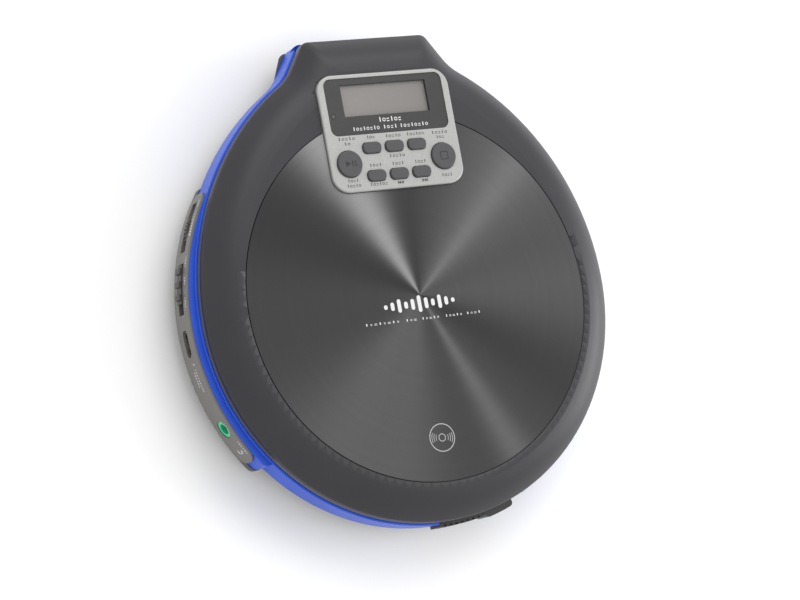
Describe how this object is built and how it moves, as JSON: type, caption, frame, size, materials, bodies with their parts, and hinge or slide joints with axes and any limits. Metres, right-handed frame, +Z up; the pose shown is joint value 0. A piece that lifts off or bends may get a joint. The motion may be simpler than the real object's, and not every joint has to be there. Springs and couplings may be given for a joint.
{
  "type": "portable cd player",
  "caption": "Round portable disc player with a hinged lid, a lid-mounted control panel, side controls and sockets, and an internal disc mechanism.",
  "frame": {"origin": "centre of the footprint, on the surface the player rests on", "axes": "+Z up out of the lid, +Y towards the hinge lobe at the back, +X to the right of a user facing the panel"},
  "size_m": [0.144, 0.1556, 0.0288],
  "materials": {
    "cell_jacket": "printed sleeve",
    "key_rubber": "soft satin",
    "nickel_plate": "plated",
    "base_grey": "fine texture",
    "steel": "ground",
    "component_black": "matt",
    "board_green": "solder mask",
    "tray_black": "satin",
    "display_grey": "semi gloss",
    "window_tint": "clear gloss",
    "gear_white": "natural",
    "collar_green": "gloss",
    "soft_rubber": "matt",
    "lens_holder_grey": "matt",
    "lid_black": "fine satin",
    "brushed_black": "radially brushed, dark anodised",
    "chassis_steel": "pressed sheet",
    "blue_plastic": "satin",
    "pinion_brass": "machined",
    "lens_glass": "coated",
    "switch_black": "satin",
    "bezel_silver": "satin silver",
    "pickup_black": "glass-filled",
    "ribbon_white": "film",
    "side_grey": "satin",
    "lamp_clear": "clear",
    "wheel_black": "knurled"
  },
  "bodies": {
    "player_body": {"aa_cells": "cell_jacket", "battery_contact_plates": "nickel_plate", "battery_springs": "steel", "board_chips": "component_black", "bottom_case": "base_grey", "case_screws": "steel", "disc_tray": "tray_black", "guide_rods": "steel", "headphone_collar": "collar_green", "headphone_jack": "component_black", "hinge_pins": "steel", "latch_spring": "steel", "lid_sense_switch": "component_black", "lid_spring": "steel", "main_board": "board_green", "mechanism_chassis": "chassis_steel", "mid_case": "blue_plastic", "rubber_dampers": "soft_rubber", "rubber_feet": "soft_rubber", "side_control_panel": "side_grey", "sled_motor": "chassis_steel", "slide_switch_housing": "component_black", "spindle_motor": "chassis_steel", "usb_socket": "nickel_plate", "volume_potentiometer": "nickel_plate"},
    "lid": {"lid_shell": "lid_black", "lid_insert": "brushed_black", "lid_liner": "tray_black", "liner_screws": "steel", "lid_hook": "lid_black", "panel_bezel": "bezel_silver", "display_window": "window_tint", "display_module": "display_grey", "status_lamp": "lamp_clear", "control_board": "board_green", "keypad_mat": "soft_rubber", "ribbon_cable": "ribbon_white"},
    "volume_dial": {"volume_wheel": "wheel_black"},
    "hold_switch": {"slide_switch_knob": "switch_black"},
    "lid_catch": {"open_slider": "switch_black"},
    "spindle": {"spindle_shaft": "steel", "turntable": "pickup_black", "turntable_mat": "soft_rubber", "clamp_balls": "steel"},
    "pickup_sled": {"pickup": "pickup_black", "rack": "gear_white"},
    "lens_carrier": {"lens_holder": "lens_holder_grey", "objective_lens": "lens_glass"},
    "double_gear": {"drive_gear": "gear_white"},
    "pinion": {"motor_pinion": "pinion_brass"},
    "battery_cover": {"battery_door": "base_grey"},
    "sense_pin": {"lid_sense_plunger": "tray_black"},
    "anti_shock_key": {"anti_shock_button": "key_rubber"},
    "back_key": {"back_button": "key_rubber"},
    "bass_key": {"bass_button": "key_rubber"},
    "folder_key": {"folder_button": "key_rubber"},
    "mode_key": {"mode_button": "key_rubber"},
    "next_key": {"next_button": "key_rubber"},
    "play_key": {"play_button": "key_rubber"},
    "stop_key": {"stop_button": "key_rubber"}
  },
  "joints": [
    {"name": "lid_hinge", "type": "hinge", "parent": "player_body", "child": "lid", "pos_m": [0.00163, 0.07512, 0.018], "axis": [-1, 0, 0], "range_deg": [0, 75]},
    {"name": "volume_turn", "type": "hinge", "parent": "player_body", "child": "volume_dial", "pos_m": [-0.05701, 0.02076, 0.0117], "axis": [0, 0, 1], "range_deg": [-150, 150]},
    {"name": "switch_slide", "type": "hinge", "parent": "player_body", "child": "hold_switch", "pos_m": [0.00163, -0.00658, 0.0117], "axis": [0, 0, 1], "range_deg": [0, 2.3]},
    {"name": "open_slide", "type": "hinge", "parent": "player_body", "child": "lid_catch", "pos_m": [0.00163, -0.00658, 0.0129], "axis": [0, 0, 1], "range_deg": [0, 3.3], "stiffness_Nm_per_rad": 0.3},
    {"name": "spindle_spin", "type": "hinge", "parent": "player_body", "child": "spindle", "pos_m": [0.00163, -0.00658, 0.02], "axis": [0, 0, 1], "continuous": true},
    {"name": "sled_travel", "type": "slide", "parent": "player_body", "child": "pickup_sled", "axis": [0, 1, 0], "range_m": [0, 0.034]},
    {"name": "lens_focus", "type": "slide", "parent": "pickup_sled", "child": "lens_carrier", "axis": [0, 0, 1], "range_m": [-0.0004, 0.0004], "stiffness_N_per_m": 30},
    {"name": "gear_spin", "type": "hinge", "parent": "player_body", "child": "double_gear", "pos_m": [-0.01892, 0.02642, 0.012], "axis": [0, 0, 1], "range_deg": [-5, 654.4]},
    {"name": "pinion_spin", "type": "hinge", "parent": "player_body", "child": "pinion", "pos_m": [-0.01892, 0.03653, 0.0098], "axis": [0, 0, 1], "range_deg": [-2617.4, 20]},
    {"name": "door_slide", "type": "slide", "parent": "player_body", "child": "battery_cover", "axis": [1, 0, 0], "range_m": [0, 0.008]},
    {"name": "sense_press", "type": "slide", "parent": "player_body", "child": "sense_pin", "axis": [0, 0, -1], "range_m": [0, 0.001], "stiffness_N_per_m": 200},
    {"name": "anti_shock_key_press", "type": "slide", "parent": "lid", "child": "anti_shock_key", "axis": [0, 0, -1], "range_m": [0, 0.0005], "stiffness_N_per_m": 600},
    {"name": "back_key_press", "type": "slide", "parent": "lid", "child": "back_key", "axis": [0, 0, -1], "range_m": [0, 0.0005], "stiffness_N_per_m": 600},
    {"name": "bass_key_press", "type": "slide", "parent": "lid", "child": "bass_key", "axis": [0, 0, -1], "range_m": [0, 0.0005], "stiffness_N_per_m": 600},
    {"name": "folder_key_press", "type": "slide", "parent": "lid", "child": "folder_key", "axis": [0, 0, -1], "range_m": [0, 0.0005], "stiffness_N_per_m": 600},
    {"name": "mode_key_press", "type": "slide", "parent": "lid", "child": "mode_key", "axis": [0, 0, -1], "range_m": [0, 0.0005], "stiffness_N_per_m": 600},
    {"name": "next_key_press", "type": "slide", "parent": "lid", "child": "next_key", "axis": [0, 0, -1], "range_m": [0, 0.0005], "stiffness_N_per_m": 600},
    {"name": "play_key_press", "type": "slide", "parent": "lid", "child": "play_key", "axis": [0, 0, -1], "range_m": [0, 0.0005], "stiffness_N_per_m": 600},
    {"name": "stop_key_press", "type": "slide", "parent": "lid", "child": "stop_key", "axis": [0, 0, -1], "range_m": [0, 0.0005], "stiffness_N_per_m": 600}
  ],
  "couplings": [
    {"joint": "gear_spin", "follows": "sled_travel", "rad_per_m": 333.33},
    {"joint": "pinion_spin", "follows": "sled_travel", "rad_per_m": -1333.3}
  ]
}
